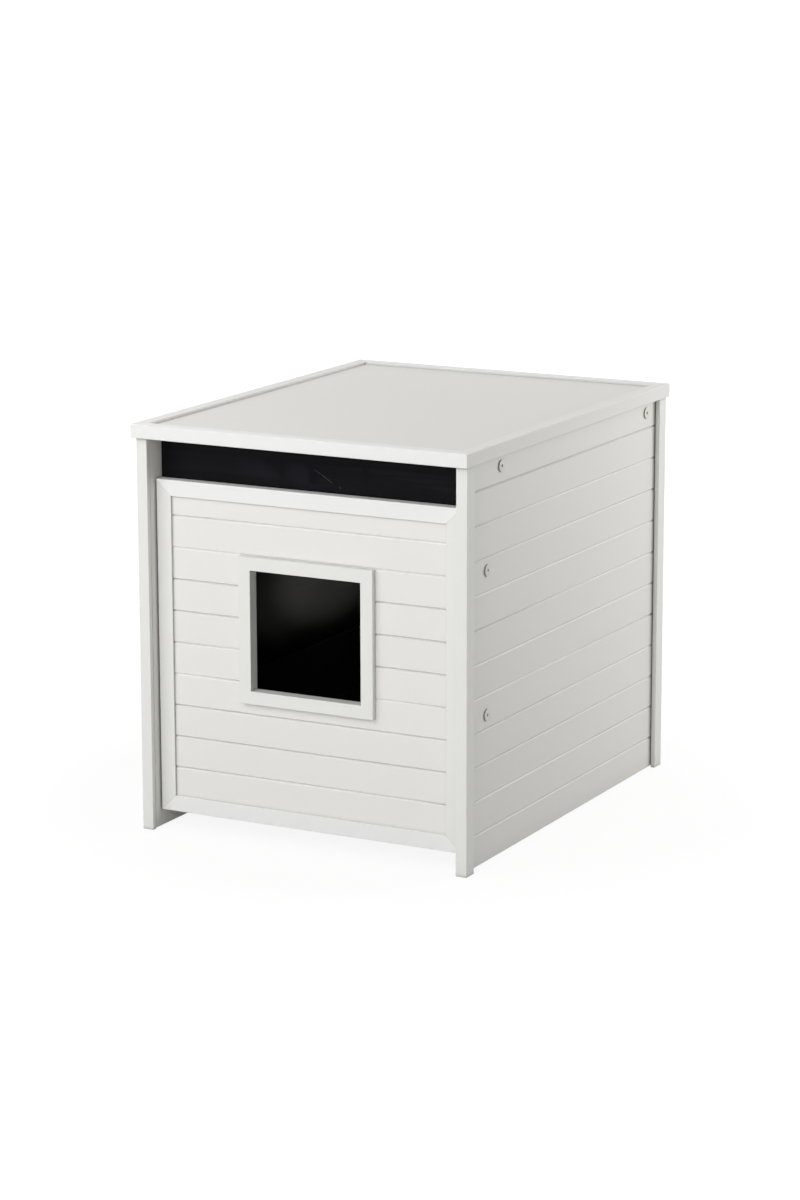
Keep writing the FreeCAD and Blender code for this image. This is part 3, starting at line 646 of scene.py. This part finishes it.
studio = {"floorSize": 60.0, "floorColour": (0.50, 0.50, 0.495, 1.0), "whiteShare": 0.80, "white": 1.13,
          "shadeEnd": 0.45, "whiteStart": 1.1, "paperRough": 0.9, "paperShine": 0.1,
          "worldColour": (1.0, 1.0, 0.995, 1.0), "worldStrength": 0.20, "backdrop": (1.0, 1.0, 1.0, 1.0)}
beam = {"blend": 1.0, "softness": 0.01}
lamps = {
    "frontMiddle": {"power": 59.0, "size": 2.2, "at": (0.5, -3.6, 1.3), "aim": (0, -0.2, 0.3)},
    "frontHigh": {"power": 16.0, "size": 1.6, "at": (-0.3, -2.4, 2.6), "aim": (0, -0.2, 0.4)},
    "frontLeft": {"power": 11.0, "size": 0.9, "at": (-1.2, -1.7, 1.3), "aim": (0, -0.3, 0.3)},
    "overheadBack": {"power": 4.0, "size": 1.0, "at": (-0.3, 1.0, 1.7), "aim": (0, 0.1, 0.5)},
    "leftBack": {"power": 7.8, "size": 1.2, "at": (-1.5, 1.2, 1.8), "aim": (0, 0.1, 0.5)},
    "rearRight": {"power": 13.0, "size": 0.8, "at": (1.2, 1.3, 0.9), "aim": (0.25, 0.3, 0.3)},
    "rearLow": {"power": 4.2, "size": 0.9, "at": (1.6, 0.9, 0.7), "aim": (0.25, 0.2, 0.3)},
    "throughOpening": {"power": 690.0, "cone": 3.0, "at": (1.18, -2.60, 0.47), "aim": (0.002, -0.29, 0.296)},
    "openingFill": {"power": 150.0, "cone": 3.0, "at": (1.52, -2.42, 0.48), "aim": (0.004, -0.29, 0.290)},
}


def seenShare(tree, share):  # the share of white for rays that look at it
    path = tree.nodes.new("ShaderNodeLightPath")
    seen = Wire(path.outputs["Is Camera Ray"]) + Wire(path.outputs["Is Glossy Ray"])
    return (seen + Wire(path.outputs["Is Transmission Ray"])).maths("MINIMUM", 1.0) * share


def makeFloor():
    shape = bmesh.new()
    bmesh.ops.create_grid(shape, x_segments=1, y_segments=1, size=studio["floorSize"] / 2)
    mesh = bpy.data.meshes.new("floor")
    shape.to_mesh(mesh)
    shape.free()
    floor = bpy.data.objects.new("floor", mesh)
    bpy.context.scene.collection.objects.link(floor)
    paper = Finish("floorPaper", **{"Base Color": studio["floorColour"], "Roughness": studio["paperRough"],
                                    "Specular IOR Level": studio["paperShine"]})
    glow = paper.node("ShaderNodeEmission", {}, {"Strength": studio["white"]})
    away = (paper.x * paper.x + paper.y * paper.y) ** 0.5  # the floor turns fully white away from the cabinet
    shaded = 1 - studio["whiteShare"]
    share = studio["whiteShare"] + away.fade(studio["shadeEnd"], studio["whiteStart"]) * shaded
    mixed = paper.node("ShaderNodeMixShader", {}, {0: seenShare(paper.tree, share),
                                                   1: Wire(paper.shader.outputs[0]), 2: glow})
    paper.tree.links.new(mixed.socket, paper.output.inputs["Surface"])
    mesh.materials.append(paper.material)


def makeWorld():
    world = bpy.data.worlds.new("studio")
    world.use_nodes = True
    tree = world.node_tree
    tree.nodes.clear()
    soft = tree.nodes.new("ShaderNodeBackground")
    soft.inputs["Color"].default_value = studio["worldColour"]
    soft.inputs["Strength"].default_value = studio["worldStrength"]
    white = tree.nodes.new("ShaderNodeBackground")
    white.inputs["Color"].default_value = studio["backdrop"]
    mixed = tree.nodes.new("ShaderNodeMixShader")
    tree.links.new(seenShare(tree, 1.0).socket, mixed.inputs[0])
    tree.links.new(soft.outputs[0], mixed.inputs[1])
    tree.links.new(white.outputs[0], mixed.inputs[2])
    tree.links.new(mixed.outputs[0], tree.nodes.new("ShaderNodeOutputWorld").inputs["Surface"])
    bpy.context.scene.world = world


def makeLamp(name, lamp):
    if "cone" in lamp:  # a narrow beam that only reaches in through the cat opening
        light = bpy.data.lights.new(name, "SPOT")
        light.spot_size = math.radians(lamp["cone"])
        light.spot_blend = beam["blend"]
        light.shadow_soft_size = beam["softness"]
    else:
        light = bpy.data.lights.new(name, "AREA")
        light.shape = "SQUARE"
        light.size = lamp["size"]
    light.energy = lamp["power"]
    holder = bpy.data.objects.new(name, light)
    holder.location = lamp["at"]
    holder.rotation_euler = (Vector(lamp["aim"]) - Vector(lamp["at"])).to_track_quat("-Z", "Y").to_euler()
    bpy.context.scene.collection.objects.link(holder)


view = {"at": (2.1627, -4.120, 1.3252), "turn": 27.86, "down": 12.63, "roll": -0.12, "lens": 102.84,
        "sensor": 36.0, "farthest": 200.0}


def makeCamera():
    camera = bpy.data.cameras.new("camera")
    camera.lens = view["lens"]
    camera.sensor_width = view["sensor"]
    camera.clip_end = view["farthest"]
    holder = bpy.data.objects.new("camera", camera)
    facing = Euler((math.radians(90 - view["down"]), 0, math.radians(view["turn"]))).to_matrix()
    holder.rotation_euler = (facing @ Matrix.Rotation(math.radians(view["roll"]), 3, "Z")).to_euler()
    holder.location = view["at"]
    bpy.context.scene.collection.objects.link(holder)
    bpy.context.scene.camera = holder


makeFloor()
makeWorld()
for lampName, lamp in lamps.items():
    makeLamp(lampName, lamp)
makeCamera()
bpy.context.scene.view_settings.view_transform = "Standard"
print("floor, light and camera made")
